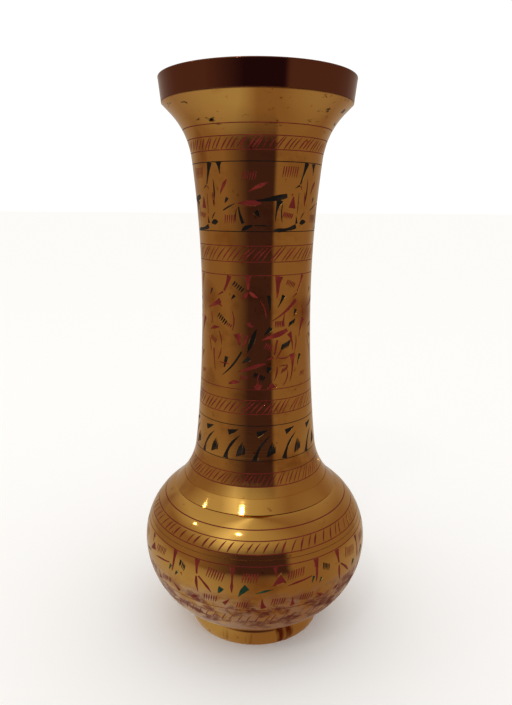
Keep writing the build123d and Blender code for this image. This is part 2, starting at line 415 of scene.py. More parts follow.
def carve(shell, cutter):
    """Cuts a cutter out of a shell and removes it."""
    begin()
    shell.select_set(True)
    bpy.context.view_layer.objects.active = shell
    modifier = shell.modifiers.new("cut", "BOOLEAN")
    modifier.operation, modifier.solver, modifier.object = "DIFFERENCE", "MANIFOLD", cutter
    bpy.ops.object.modifier_apply(modifier=modifier.name)
    bpy.data.meshes.remove(cutter.data)


# ---- the engraver's patterns, in millimetres: across to the right, up from the band's lower line -
RED, BLACK, GREEN = "red_lac", "black_lac", "green_lac"
WANDER = 0.12  # how far a repeated cut strays from its place


def hatch_marks(across, up, count, spacing, tall, lean, width=0.3, colour=RED, drop=0.0):
    """A row of short parallel marks centred on a point; drop steps each one lower than the last."""
    marks = []
    for k in range(count):
        x = across + (k - (count - 1) / 2) * spacing
        y = up - (k - (count - 1) / 2) * drop
        top, foot = (x + lean / 2, y + tall / 2), (x - lean / 2, y - tall / 2)
        marks.append(Cut(top, foot, (width, width * 1.15, width * 0.4), (0.08, 0.08), colour))
    return marks


def bird_panel():
    """Black spikes, bird-like wedges with long tails, and brackets along the lower line."""
    return [
        Cut((-12.7, 22.0), (-12.4, 18.2), (2.0, 0.9, 0.4, 0.08), colour=BLACK),
        Cut((17.5, 22.0), (15.3, 15.2), (1.7, 0.9, 0.6, 0.45), (0.2, 0.1), BLACK),
        Cut((15.1, 14.9), (13.2, 13.9), (0.55, 0.3, 0.08), colour=BLACK),
        Cut((15.5, 14.7), (16.2, 13.4), (0.5, 0.3, 0.08)),
        Cut((-2.9, 10.0), (10.3, 11.5), (0.1, 0.3, 0.6, 1.2, 1.4, 1.0), (-0.9, -0.4), BLACK),
        Cut((7.9, 10.2), (6.4, 3.2), (2.2, 1.0, 0.5, 0.35, 0.1), (-0.7, -0.5), BLACK),
        Cut((-6.2, 8.0), (-4.7, 2.6), (0.3, 0.5, 0.8, 0.9), (-0.3, -0.3), BLACK),
        Cut((-5.2, 0.3), (-1.4, 2.0), (0.3, 1.3, 0.9, 0.3), (0.3, 0.2), BLACK),
        Cut((-0.9, 2.0), (5.4, 1.9), (0.2, 0.3, 0.3, 0.12), colour=BLACK),
        Cut((-6.4, 9.0), (1.4, 9.0), (0.25, 0.9, 1.5, 1.5, 0.3), (0.2, 0.2)),
        Cut((-0.4, 6.6), (0.9, 4.7), (1.6, 0.9, 0.2), colour=BLACK),
        Cut((5.8, 0.4), (14.7, 1.7), (0.3, 1.2, 0.8, 0.7, 1.2, 1.3), (-0.4, -0.7), BLACK),
        Cut((14.9, 2.6), (14.5, 4.9), (0.9, 0.5, 0.1), colour=BLACK),
        Cut((12.8, 11.3), (12.4, 7.6), (0.3, 1.2, 2.0)),
        Cut((15.0, 12.4), (14.8, 5.6), (0.12, 0.22, 0.22, 0.1), (0.1, 0.1), BLACK),
        Cut((-17.6, 2.6), (-14.4, 3.1), (0.3, 1.5, 1.3, 0.3), (0.2, 0.2), BLACK),
        Cut((-17.2, 3.8), (-15.4, 6.2), (0.12, 0.4, 0.12), (0.3, 0.3), BLACK),
        Cut((-16.2, 12.6), (-15.7, 8.0), (0.12, 0.55, 0.6, 0.12), (0.2, -0.2)),
        Cut((-10.1, 10.9), (-11.1, 9.1), (0.9, 0.7, 0.1), colour=BLACK),
        Cut((-11.9, 6.8), (-7.4, 9.0), (0.3, 0.4, 0.1), (0.1, 0.1), BLACK),
        Cut((-12.7, 12.0), (-10.0, 16.6), (0.12, 0.7, 1.0, 0.2), (0.3, 0.3)),
        Cut((-2.9, 12.6), (3.4, 15.6), (0.12, 0.7, 1.1, 0.2), (0.3, 0.2)),
        Cut((8.8, 9.2), (8.9, 2.9), (0.12, 0.3, 0.3, 0.12), (-0.5, -0.5), BLACK),
        Cut((-6.8, 7.4), (-7.4, 3.2), (0.12, 0.3, 0.12), (-0.3, -0.3), BLACK),
        Cut((18.6, 17.0), (18.2, 9.0), (0.1, 0.4, 0.5, 0.1), (0.5, 0.5), BLACK),
        *hatch_marks(10.9, 19.0, 7, 0.85, 3.4, 0.5, 0.28),
        *hatch_marks(-9.6, 4.0, 5, 0.85, 2.8, 0.3, 0.28),
        *hatch_marks(-2.6, 17.6, 6, 0.8, 2.8, 0.6, 0.26),
        *hatch_marks(10.9, 5.2, 6, 0.66, 1.7, 0.8, 0.34, drop=0.12),
    ]


def vine_panel():
    """A dark rising stem, branching red stems with thick heads, and black drops that radiate from them."""
    return [
        Cut((-9.6, 39.4), (-11.8, 34.2), (1.2, 0.8, 0.45), (0.2, 0.3)),
        Cut((-12.2, 33.8), (-14.7, 32.5), (0.45, 0.35, 0.1)),
        Cut((-13.5, 30.8), (-19.9, 27.8), (1.4, 1.0, 0.6, 0.1), (0.3, 0.4)),
        Cut((-14.1, 29.6), (-12.6, 28.6), (0.7, 0.5, 0.1)),
        Cut((-3.0, 39.4), (-2.9, 34.9), (1.5, 0.8, 0.55), (0.15, 0.1)),
        Cut((-3.2, 34.1), (-4.9, 31.5), (0.5, 1.0, 0.15), (0.2, 0.2)),
        Cut((-2.4, 34.2), (0.6, 32.1), (0.5, 0.9, 0.1), (-0.2, -0.2)),
        Cut((7.9, 39.4), (7.2, 31.8), (2.0, 1.0, 0.7, 0.12), (-0.3, 0.2)),
        Cut((18.4, 39.4), (15.9, 33.8), (1.0, 0.6, 0.5), (0.2, 0.2)),
        Cut((15.6, 33.1), (13.4, 31.8), (0.45, 0.3, 0.1)),
        Cut((15.2, 30.9), (4.8, 23.7), (1.1, 0.7, 0.35, 0.1), (0.6, 0.5)),
        Cut((-2.7, 23.6), (-0.9, 22.2), (0.9, 0.8, 0.25), (-0.5, -0.4)),
        Cut((1.9, 17.5), (11.4, 20.7), (0.15, 0.9, 1.3, 0.9), (0.4, -0.7)),
        Cut((9.9, 22.0), (10.4, 26.8), (0.7, 0.4, 0.15), (0.5, 0.3)),
        Cut((12.3, 19.6), (13.8, 13.2), (1.5, 0.7, 0.35, 0.15), (0.7, 0.5)),
        Cut((7.6, 17.4), (6.4, 12.2), (0.5, 0.5, 0.4), (-0.3, 0.2)),
        Cut((6.0, 11.5), (3.4, 10.5), (0.6, 0.4, 0.1), (0.2, 0.2)),
        Cut((3.4, 9.2), (-6.2, 6.2), (0.4, 0.9, 0.7, 0.1), (-0.6, 0.2)),
        Cut((13.6, 12.0), (12.4, 2.0), (1.8, 0.9, 0.5, 0.35, 0.1), (1.0, 0.9)),
        Cut((9.0, 13.6), (6.9, 10.6), (0.45, 0.35, 0.1)),
        Cut((7.5, 7.9), (6.3, 3.0), (0.3, 0.45, 0.1), (0.5, 0.4)),
        Cut((5.4, 2.4), (5.6, 0.4), (0.2, 1.3, 2.5)),
        Cut((-6.6, 19.6), (-5.6, 15.6), (1.8, 1.1, 0.35)),
        Cut((-3.1, 19.3), (-4.9, 14.6), (0.7, 0.55, 0.15), (0.3, 0.2)),
        Cut((-16.6, 13.4), (-15.8, 5.0), (0.6, 0.4, 0.1), (-0.4, 0.2)),
        Cut((-18.6, 20.0), (-14.2, 21.3), (0.2, 0.8, 0.25), (0.4, 0.3)),
        Cut((-9.6, 1.6), (-5.6, 2.6), (0.3, 1.2, 0.4), (0.3, 0.2)),
        Cut((-0.6, 0.6), (2.2, 1.4), (0.3, 1.6, 0.3), (0.2, 0.2)),
        Cut((19.6, 24.0), (17.0, 17.6), (1.5, 0.8, 0.12), (-0.5, -0.3)),
        Cut((18.1, 28.8), (19.6, 25.0), (0.12, 0.35, 0.12), (0.3, 0.3)),
        Cut((7.5, 11.2), (12.6, 11.5), (0.12, 0.35, 0.35, 0.12), (-0.8, -0.8)),
        Cut((15.4, 18.4), (14.6, 12.4), (0.12, 0.4, 0.4, 0.12), (0.6, 0.6)),
        Cut((1.5, 6.0), (1.0, 2.0), (0.12, 0.3, 0.3, 0.12), (-0.8, -0.8)),
        Cut((8.2, 7.9), (11.8, 7.7), (0.12, 0.35, 0.12), (0.5, 0.5)),
        Cut((11.6, 6.4), (9.6, 0.9), (0.12, 0.35, 0.3, 0.12), (0.9, 0.8)),
        Cut((-14.2, 20.0), (-13.0, 15.0), (0.12, 0.4, 0.3, 0.12), (0.6, 0.6)),
        Cut((-13.0, 14.2), (-14.6, 9.6), (0.12, 0.35, 0.35, 0.12), (0.5, 0.5)),
        Cut((-13.6, 9.0), (-9.6, 8.6), (0.12, 0.3, 0.3, 0.12), (-0.4, 0.3)),
        Cut((-8.6, 27.4), (-8.6, 20.4), (0.12, 0.32, 0.32, 0.12), (1.0, 1.0)),
        Cut((1.2, 31.4), (3.4, 25.2), (0.12, 0.32, 0.32, 0.12), (0.8, 0.8)),
        Cut((-17.8, 26.4), (-17.2, 22.2), (0.12, 0.32, 0.32, 0.12), (-0.5, -0.5)),
        Cut((-19.6, 17.4), (-18.2, 12.0), (0.12, 0.35, 0.3, 0.12), (0.4, 0.4)),
        Cut((-12.4, 4.3), (-5.0, 13.4), (0.12, 0.45, 0.55, 0.4), (-0.9, -0.8), BLACK),
        Cut((-3.1, 13.2), (0.2, 21.4), (0.15, 0.9, 1.4, 0.9, 0.25), (-0.5, 0.3), BLACK),
        Cut((4.3, 33.0), (4.8, 27.4), (1.1, 0.8, 0.45, 0.1), (0.1, 0.1), BLACK),
        Cut((9.9, 32.8), (7.5, 28.6), (1.1, 0.6, 0.3, 0.1), (0.1, 0.1), BLACK),
        Cut((5.3, 21.8), (2.7, 19.3), (1.1, 0.8, 0.1), (0.1, 0.1), BLACK),
        Cut((-2.0, 11.1), (-4.8, 9.3), (1.1, 0.8, 0.1), (-0.2, -0.1), BLACK),
        Cut((-10.7, 11.2), (-11.6, 7.2), (1.0, 0.9, 0.3), colour=BLACK),
        Cut((4.8, 8.0), (4.0, 6.0), (1.1, 1.1, 0.4), colour=BLACK),
        Cut((15.3, 27.6), (14.4, 25.2), (0.9, 0.7, 0.1), colour=BLACK),
        Cut((17.6, 11.3), (16.1, 7.6), (1.0, 0.6, 0.1), colour=BLACK),
        Cut((-17.6, 34.6), (-18.8, 32.4), (0.8, 0.6, 0.1), colour=BLACK),
        Cut((-7.6, 32.9), (-8.9, 31.4), (0.8, 0.6, 0.1), colour=BLACK),
        *hatch_marks(-6.4, 35.8, 5, 0.75, 1.5, 1.1, 0.34, BLACK, 0.55),
        *hatch_marks(-12.8, 24.3, 5, 0.75, 1.6, 1.2, 0.36, BLACK, 0.6),
        *hatch_marks(-9.8, 22.4, 3, 0.7, 1.1, 0.7, 0.3, drop=0.3),
        *hatch_marks(8.0, 22.9, 5, 0.62, 2.2, 0.1, 0.3),
        *hatch_marks(13.4, 23.0, 4, 0.7, 1.7, 0.7, 0.4, BLACK, -0.3),
        *hatch_marks(10.7, 15.2, 6, 0.62, 2.4, 0.9, 0.36, BLACK, -0.25),
        *hatch_marks(1.0, 4.6, 6, 0.62, 1.7, 1.0, 0.36, BLACK, 0.3),
        *hatch_marks(-4.3, 4.1, 4, 0.7, 1.7, 0.5, 0.28),
        *hatch_marks(10.2, 6.6, 4, 0.66, 1.8, 0.8, 0.28, drop=-0.3),
        *hatch_marks(12.6, 36.6, 6, 0.62, 1.7, 0.9, 0.26, drop=0.25),
        *hatch_marks(4.2, 15.0, 4, 0.66, 2.2, 0.9, 0.28, drop=0.3),
        *hatch_marks(-17.0, 16.6, 5, 0.62, 1.8, 0.8, 0.3, drop=0.3),
        *hatch_marks(18.8, 4.0, 4, 0.7, 1.6, 0.8, 0.3),
    ]


def fern_motif():
    """One leaning black frond with a wedge over it and a leaf of close strokes beside it."""
    leaf = [
        Cut((4.3 + 0.66 * k, 1.3 + 0.3 * k), (5.2 + 0.5 * k, 5.3 + top), (0.55, 0.62, 0.2), (0.1, 0.1), BLACK)
        for k, top in enumerate((0.0, 0.9, 1.4, 0.7, -0.3))
    ]
    return leaf + [
        Cut((-0.1, 0.15), (5.3, 9.1), (2.1, 1.1, 0.8, 1.0, 0.95, 0.5, 0.08), (1.5, 1.1), BLACK),
        Cut((0.6, 9.7), (4.5, 11.3), (2.1, 1.3, 0.1), (-0.1, -0.1), BLACK),
    ]


def belly_panel():
    """Hanging red forks, rows of marks, and wedge leaves in green and red, over a row of low tufts."""
    return [
        Cut((-21.2, 16.2), (-20.9, 11.4), (1.8, 0.9, 0.55), (-0.2, -0.1)),
        Cut((-21.0, 10.6), (-20.4, 4.4), (0.5, 1.0, 0.6, 0.12), (-0.4, -0.2)),
        Cut((-20.2, 10.8), (-15.2, 5.8), (0.5, 0.6, 0.9, 0.15), (0.2, 0.4)),
        Cut((-7.7, 15.9), (-7.8, 7.0), (1.5, 0.6, 0.5, 0.9, 0.12), (0.2, -0.1)),
        Cut((9.9, 12.3), (6.1, 9.7), (2.5, 1.5, 0.1)),
        Cut((7.2, 16.1), (7.5, 13.0), (1.3, 0.7, 0.2)),
        Cut((11.4, 9.2), (20.6, 11.0), (0.12, 0.6, 0.5, 0.3), (0.3, -0.2)),
        Cut((23.0, 16.2), (22.4, 8.3), (1.6, 0.9, 0.8, 0.15), (0.2, 0.2)),
        Cut((13.6, 0.9), (13.4, 4.6), (1.5, 0.5, 0.15), (0.2, 0.1)),
        Cut((-23.6, 1.2), (-20.8, 2.6), (0.3, 1.1, 0.3), (0.2, 0.1)),
        Cut((-10.8, 2.0), (-8.6, 4.4), (1.3, 0.7, 0.1)),
        Cut((3.2, 1.0), (2.6, 5.2), (1.6, 0.7, 0.12), (0.3, 0.2)),
        Cut((25.4, 1.4), (22.8, 3.6), (1.3, 0.7, 0.1)),
        Cut((-2.5, 9.6), (-5.5, 5.8), (2.0, 1.5, 0.12), (-0.3, -0.2), GREEN),
        Cut((-11.4, 8.5), (-12.6, 6.2), (1.6, 1.3, 0.3), colour=GREEN),
        Cut((0.3, 7.2), (6.5, 8.6), (0.1, 0.7, 0.1), (0.1, 0.1), GREEN),
        Cut((21.6, 10.6), (20.5, 8.2), (1.1, 0.6, 0.1), colour=GREEN),
        Cut((24.8, 9.2), (23.7, 7.4), (0.9, 0.6, 0.1), colour=GREEN),
        *hatch_marks(-13.9, 12.6, 7, 0.95, 3.4, 1.1, 0.34, drop=0.15),
        *hatch_marks(-1.6, 12.7, 6, 0.95, 3.2, 0.7, 0.34),
        *hatch_marks(14.6, 13.0, 7, 0.92, 3.0, 0.8, 0.32, drop=-0.1),
        *hatch_marks(27.0, 12.3, 5, 0.62, 2.3, 0.5, 0.34, BLACK, 0.3),
        *hatch_marks(-15.8, 3.4, 6, 0.9, 2.6, 0.5, 0.3),
        *hatch_marks(-4.4, 2.3, 5, 0.8, 2.6, 0.7, 0.3),
        *hatch_marks(8.2, 3.6, 6, 0.85, 2.6, 0.7, 0.3),
        *hatch_marks(18.6, 3.6, 6, 0.9, 2.4, 0.6, 0.3),
    ]


def repeated(motif, times, home, band_radius, seed, weight):
    """A motif carried round the vase, a little different each time, as cuts with their band."""
    chance = random.Random(seed)
    pitch = FULL_TURN * band_radius / MM / times
    entries = []
    for turn_index in range(times):
        for cut in motif:
            wander = WANDER if turn_index else 0.0
            across = turn_index * pitch + chance.uniform(-wander, wander)
            moved = cut.moved(across, chance.uniform(-wander, wander), weight * chance.uniform(0.92, 1.08))
            entries.append((moved, home, band_radius))
    return entries


def hatching(tall, home, band_radius, count, lean, width, seed, bend=0.15, foot=0.25):
    """A band of leaning strokes, cut by eye, so that their spacing and weight vary."""
    chance = random.Random(seed)
    pitch = FULL_TURN * band_radius / MM / count
    entries = []
    for k in range(count):
        across = k * pitch + chance.uniform(-0.22, 0.22) * pitch
        low, high = foot + chance.uniform(-0.15, 0.25), tall - foot + chance.uniform(-0.3, 0.15)
        tip = across + lean * chance.uniform(0.8, 1.15)
        heavy = width * chance.uniform(0.75, 1.35)
        cut = Cut((across, low), (tip, high), (heavy * 0.4, heavy, heavy * 0.9, 0.12), (bend, bend))
        entries.append((cut, home, band_radius))
    return entries


# ---- materials ----------------------------------------------------------------------------------
def add(tree, kind, settings=None, links=None, at=(0, 0)):
    """Adds a node with its settings, links its inputs and returns it."""
    node = tree.nodes.new(kind)
    node.location = at
    for name, value in (settings or {}).items():
        if isinstance(name, str) and hasattr(node, name):
            setattr(node, name, value)
        else:
            node.inputs[name].default_value = value
    for name, source in (links or {}).items():
        tree.links.new(source, node.inputs[name])
    return node


def new_material(name):
    """An empty node material with its output."""
    material = bpy.data.materials.new(name)
    material.use_nodes = True
    material.node_tree.nodes.clear()
    return material, material.node_tree


# Marks laid over the metal, among them old stains and one painted reflection: heights in mm where each
# starts, is full, fades and ends;
# how many times a metre its noise repeats sideways and upwards; noise at which it begins and is full; its
# colour; and how it dulls the metal.
STAINS_AND_PAINTED_REFLECTION = (
    # Brown tarnish patches up the neck.
    ((60, 70, 178, 186), (55, 80), (0.52, 0.85), "8A4E24", 0.05),
    # Painted reflection: a pale pinkish-white wash in blotches on the lower belly, standing for the bright
    # paper that the belly reflects; it also roughens the metal there.
    ((10, 16, 29, 35), (170, 210), (0.43, 0.56), "DDBB98", 0.26),
    # Purple-brown blotches on the lower belly.
    ((14, 19, 28, 34), (140, 250), (0.44, 0.57), "965646", 0.20),
    # Darker red-brown streaks towards the bottom of the foot.
    ((0, 1, 6, 11), (110, 18), (0.53, 0.64), "7A3418", 0.06),
    # An even brown over the whole mouth rim: the noise never falls below its start.
    ((195.5, 195.7, 204, 205), (40, 40), (-1.0, 0.0), "80503A", 0.0),
    # Near-black tarnish specks under the rim.
    ((185, 188, 194.5, 196), (150, 420), (0.60, 0.65), "201612", 0.25),
)


def lay_stain_or_painted_reflection(tree, place, height, stain_or_painted_reflection, colour, rough, row):
    """Lays one listed mark, a stain or the painted reflection on the lower belly, over a colour and a
    roughness, and gives both back.
    """
    (start, full, fading, end), (sideways, upwards), (faint, strong), hex_code, dulling = stain_or_painted_reflection
    stretched = add(
        tree, "ShaderNodeMapping", {"Scale": (sideways, sideways, upwards)}, {"Vector": place}, (-1100, row)
    )
    rough_noise = {"Scale": 1.0, "Detail": 8.0, "Roughness": 0.65}
    blots = add(tree, "ShaderNodeTexNoise", rough_noise, {"Vector": stretched.outputs[0]}, (-900, row))
    shows = {"From Min": faint, "From Max": strong}
    mask = add(tree, "ShaderNodeMapRange", shows, {"Value": blots.outputs["Fac"]}, (-700, row)).outputs[0]
    rising = {"From Min": start * MM, "From Max": full * MM}
    falling = {"From Min": fading * MM, "From Max": end * MM, "To Min": 1.0, "To Max": 0.0}
    for number, limits in enumerate((rising, falling)):
        across = -700 + 200 * number
        limit = add(tree, "ShaderNodeMapRange", limits, {"Value": height}, (across, row - 150)).outputs[0]
        both = {0: mask, 1: limit}
        mask = add(tree, "ShaderNodeMath", {"operation": "MULTIPLY"}, both, (across + 200, row)).outputs[0]
    settings = {"data_type": "RGBA", 7: (*linear(hex_code), 1)}
    tinted = add(tree, "ShaderNodeMix", settings, {0: mask, 6: colour}, (-100, row)).outputs[2]
    settings = {"operation": "MULTIPLY_ADD", 1: dulling}
    dulled = add(tree, "ShaderNodeMath", settings, {0: mask, 2: rough}, (-100, row - 150))
    return tinted, dulled.outputs[0]


def turned_brass(name, colours, polish, tarnish):
    """Cast brass, turned on a lathe and hand polished, then left to brown under an old lacquer.

    It shows warm mirror-like streaks, broken by hair-fine rings from the lathe and by brown patches, with a
    pale painted reflection of the paper on the lower belly.
    """
    material, tree = new_material(name)
    place = add(tree, "ShaderNodeTexCoord", at=(-1300, 0)).outputs["Object"]
    # Tool rings are about 0.1 mm apart on the metal, and are drawn 0.5 mm apart so that they show.
    stretched = add(
        tree, "ShaderNodeMapping", {"Scale": (12, 12, 2000)}, {"Vector": place}, (-1100, 300)
    ).outputs[0]
    rings = add(tree, "ShaderNodeTexNoise", {"Scale": 1.0, "Detail": 3.0}, {"Vector": stretched}, (-900, 300))
    patches = add(tree, "ShaderNodeTexNoise", {"Scale": 45.0, "Detail": 5.0}, {"Vector": place}, (-900, 0))
    speckled = {"Scale": 420.0, "Detail": 2.0}
    freckles = add(tree, "ShaderNodeTexNoise", speckled, {"Vector": place}, (-900, -250))
    browned = add(
        tree,
        "ShaderNodeMapRange",
        {"From Min": 0.62 - tarnish, "From Max": 0.78 - tarnish * 0.5},
        {"Value": patches.outputs["Fac"]},
        (-650, 0),
    )
    freckled = add(
        tree,
        "ShaderNodeMapRange",
        {"From Min": 0.68, "From Max": 0.78},
        {"Value": freckles.outputs["Fac"]},
        (-650, -250),
    )
    brown = add(
        tree,
        "ShaderNodeMath",
        {"operation": "MAXIMUM"},
        {0: browned.outputs[0], 1: freckled.outputs[0]},
        (-450, -100),
    )
    colour = add(
        tree,
        "ShaderNodeMix",
        {"data_type": "RGBA", 6: (*colours.brass, 1), 7: (*colours.tarnish, 1)},
        {0: brown.outputs[0]},
        (-250, 100),
    )
    gloss = add(
        tree,
        "ShaderNodeMapRange",
        {"To Min": polish - 0.03, "To Max": polish + 0.03},
        {"Value": patches.outputs["Fac"]},
        (-450, -350),
    )
    ringed = add(
        tree,
        "ShaderNodeMath",
        {"operation": "MULTIPLY_ADD", 1: 0.08},
        {0: rings.outputs["Fac"], 2: gloss.outputs[0]},
        (-250, -350),
    )
    colour, rough = colour.outputs[2], ringed.outputs[0]
    height = add(tree, "ShaderNodeSeparateXYZ", {}, {0: place}, (-1100, -500)).outputs["Z"]
    # Each listed mark is laid over the metal in turn: stains, and on the lower belly a painted reflection of
    # the pale paper.
    for number, stain_or_painted_reflection in enumerate(STAINS_AND_PAINTED_REFLECTION):
        colour, rough = lay_stain_or_painted_reflection(tree, place, height, stain_or_painted_reflection, colour, rough, -700 - 300 * number)
    relief = add(
        tree,
        "ShaderNodeBump",
        {"Strength": 0.2, "Distance": 0.05 * MM},
        {"Height": rings.outputs["Fac"]},
        (-450, 350),
    )
    # The tool went round the axis, so its rings spread reflections up and down but not sideways.
    grain = add(tree, "ShaderNodeTangent", {"direction_type": "RADIAL", "axis": "Z"}, at=(-250, -500))
    shader = add(
        tree,
        "ShaderNodeBsdfPrincipled",
        {"Metallic": 1.0, "Anisotropic": 0.4, "Anisotropic Rotation": 0.25},
        {
            "Base Color": colour,
            "Roughness": rough,
            "Normal": relief.outputs[0],
            "Tangent": grain.outputs[0],
        },
        (0, 0),
    )
    add(tree, "ShaderNodeOutputMaterial", links={"Surface": shader.outputs[0]}, at=(300, 0))
    return material


def spelter(name, colours):
    """Brazing spelter with old polish caught in it, which shows as a dull brown seam."""
    material, tree = new_material(name)
    place = add(tree, "ShaderNodeTexCoord", at=(-700, 0)).outputs["Object"]
    grime = add(tree, "ShaderNodeTexNoise", {"Scale": 300.0, "Detail": 3.0}, {"Vector": place}, (-500, 0))
    colour = add(
        tree,
        "ShaderNodeMix",
        {"data_type": "RGBA", 6: (*colours.tarnish, 1), 7: (*linear("2A160C"), 1)},
        {0: grime.outputs["Fac"]},
        (-250, 0),
    )
    settings = {"Metallic": 0.8, "Roughness": 0.5}
    shader = add(tree, "ShaderNodeBsdfPrincipled", settings, {"Base Color": colour.outputs[2]}, (0, 0))
    add(tree, "ShaderNodeOutputMaterial", links={"Surface": shader.outputs[0]}, at=(300, 0))
    return material


def scraped_lac(name, hex_colour, worn_hex):
    """Stick lac melted into the cuts and scraped level: glassy where whole, duller and paler where worn."""
    material, tree = new_material(name)
    place = add(tree, "ShaderNodeTexCoord", at=(-900, 0)).outputs["Object"]
    wear = add(tree, "ShaderNodeTexNoise", {"Scale": 260.0, "Detail": 3.0}, {"Vector": place}, (-700, 0))
    rubbed = {"From Min": 0.5, "From Max": 0.8}
    worn = add(tree, "ShaderNodeMapRange", rubbed, {"Value": wear.outputs["Fac"]}, (-500, 0))
    colour = add(
        tree,
        "ShaderNodeMix",
        {"data_type": "RGBA", 6: (*hex_colour, 1), 7: (*linear(worn_hex), 1)},
        {0: worn.outputs[0]},
        (-250, 100),
    )
    roughness = {"To Min": 0.3, "To Max": 0.55}
    gloss = add(tree, "ShaderNodeMapRange", roughness, {"Value": wear.outputs["Fac"]}, (-250, -100))
    relief = add(
        tree,
        "ShaderNodeBump",
        {"Strength": 0.3, "Distance": 0.05 * MM},
        {"Height": wear.outputs["Fac"]},
        (-250, -300),
    )
    shader = add(
        tree,
        "ShaderNodeBsdfPrincipled",
        {"Specular IOR Level": 0.2},
        {"Base Color": colour.outputs[2], "Roughness": gloss.outputs[0], "Normal": relief.outputs[0]},
        (0, 0),
    )
    add(tree, "ShaderNodeOutputMaterial", links={"Surface": shader.outputs[0]}, at=(300, 0))
    return material


POLISH, BROWNING = 0.05, 0.04  # roughness of the fresh polish, and how far the browning has come
WORN = {"red_lac": "7E2212", "black_lac": "2E2219", "green_lac": "2B4A30"}
MATERIALS = {
    "brass": "hand_polished_turned_brass",
    "solder": "browned_brazing_spelter",
    "red_lac": "scraped_red_stick_lac",
    "black_lac": "scraped_black_stick_lac",
    "green_lac": "scraped_green_stick_lac",
}


def finish(slot):
    """The material for a slot, made the first time it is asked for."""
    colours = bpy.context.scene.vase_colours
    name = MATERIALS[slot]
    if name not in bpy.data.materials:
        if slot == "brass":
            turned_brass(name, colours, POLISH, BROWNING)
        elif slot == "solder":
            spelter(name, colours)
        else:
            scraped_lac(name, getattr(colours, slot), WORN[slot])
    return bpy.data.materials[name]


# ---- the pieces ---------------------------------------------------------------------------------
NECK_STEPS, BODY_STEPS = 160, 200
# Between rows of the turned sides.
NECK_PITCH, BODY_PITCH, SHOULDER_PITCH, INNER_PITCH = 1.6 * MM, 1.2 * MM, 0.6 * MM, 4.0 * MM
FOOT_BOTTOM_RADIUS, FOOT_SWELL_SHARE = 25.9 * MM, 0.4
FOOT_ROUND, RIM_ROUND, RIM_STEP = 0.25 * MM, 0.4 * MM, 0.12 * MM
FOOT_BAND = 6.4 * MM  # height of the hatching above the bowl's lowest line
LAC_EDGE, LAC_BOTTOM = 0.46, 0.97  # half the lac's width and its depth, as shares of the turned line's
ABOVE = 0.15 * MM  # how far the graver's wedge stands out of the brass, so that it cuts clean
FILL_DEPTH = 0.96  # depth of the lac as a share of the cut's
COLOUR_STEP = 0.012 * MM  # each colour is scraped lower than the last by this
# Heights of the turned lines: down from the top of the rim, and up or down from the neck joint.
RED_BELOW_RIM = (17.0, 20.5, 24.7, 55.0, 60.3, 64.8)
BLACK_BELOW_RIM = (28.2, 50.3)
RED_ABOVE_JOINT = (8.0, 12.4, 33.8, 38.8, 42.7)
BLACK_ABOVE_JOINT = (16.8, 29.6)
BARE_ABOVE_JOINT = 4.4
RED_ON_SHOULDER = (-3.2, -6.0, -9.7)
RED_ON_BOWL = (8.6, -7.8, -15.7)


def vase_outline():
    """The outline for the sizes as they stand, with the beads that the lathe left on the shoulder."""
    sizes = bpy.context.scene.vase_sizes
    outline = Outline(sizes)
    joint, rise = outline.joint, sizes.bead_rise
    outline.red_neck = [outline.height - drop * MM for drop in RED_BELOW_RIM]
    outline.red_neck += [joint + up * MM for up in RED_ABOVE_JOINT]
    outline.black_neck = [outline.height - drop * MM for drop in BLACK_BELOW_RIM]
    outline.black_neck += [joint + up * MM for up in BLACK_ABOVE_JOINT]
    outline.bare_neck = joint + BARE_ABOVE_JOINT * MM
    outline.red_shoulder = [joint + up * MM for up in RED_ON_SHOULDER]
    outline.red_bowl = [sizes.belly_height + up * MM for up in RED_ON_BOWL]
    first, second, third = outline.red_shoulder
    outline.beads = (
        (joint, outline.bare_neck, rise * 1.4),
        (outline.bare_neck, outline.red_neck[6], rise),
        (first, joint, rise),
        (second, first, rise),
        (outline.red_bowl[0], third, -rise),
    )
    return outline


def lines_piece(name, outline, heights, steps, node):
    """Lac scraped level in the turned lines, as one piece that stands for a CAD node."""
    sizes = bpy.context.scene.vase_sizes
    top, bottom = sizes.lac_recess, LAC_BOTTOM * sizes.line_depth
    sections = []
    for z in heights:
        section = []
        corners = ((-GROOVE_BOTTOM, bottom), (GROOVE_BOTTOM, bottom), (LAC_EDGE, top), (-LAC_EDGE, top))
        for share, depth in corners:
            radius, height = outline.point(z + share * sizes.line_width, depth)
            section.append((float(radius), float(height)))
        sections.append(section)
    piece = turn(name, sections, steps)
    finish_piece(piece, finish(slot_of(name)))
    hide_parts(node)


def slot_of(name):
    """The lac slot that a piece's name begins with."""
    return "_".join(name.split("_")[:2])


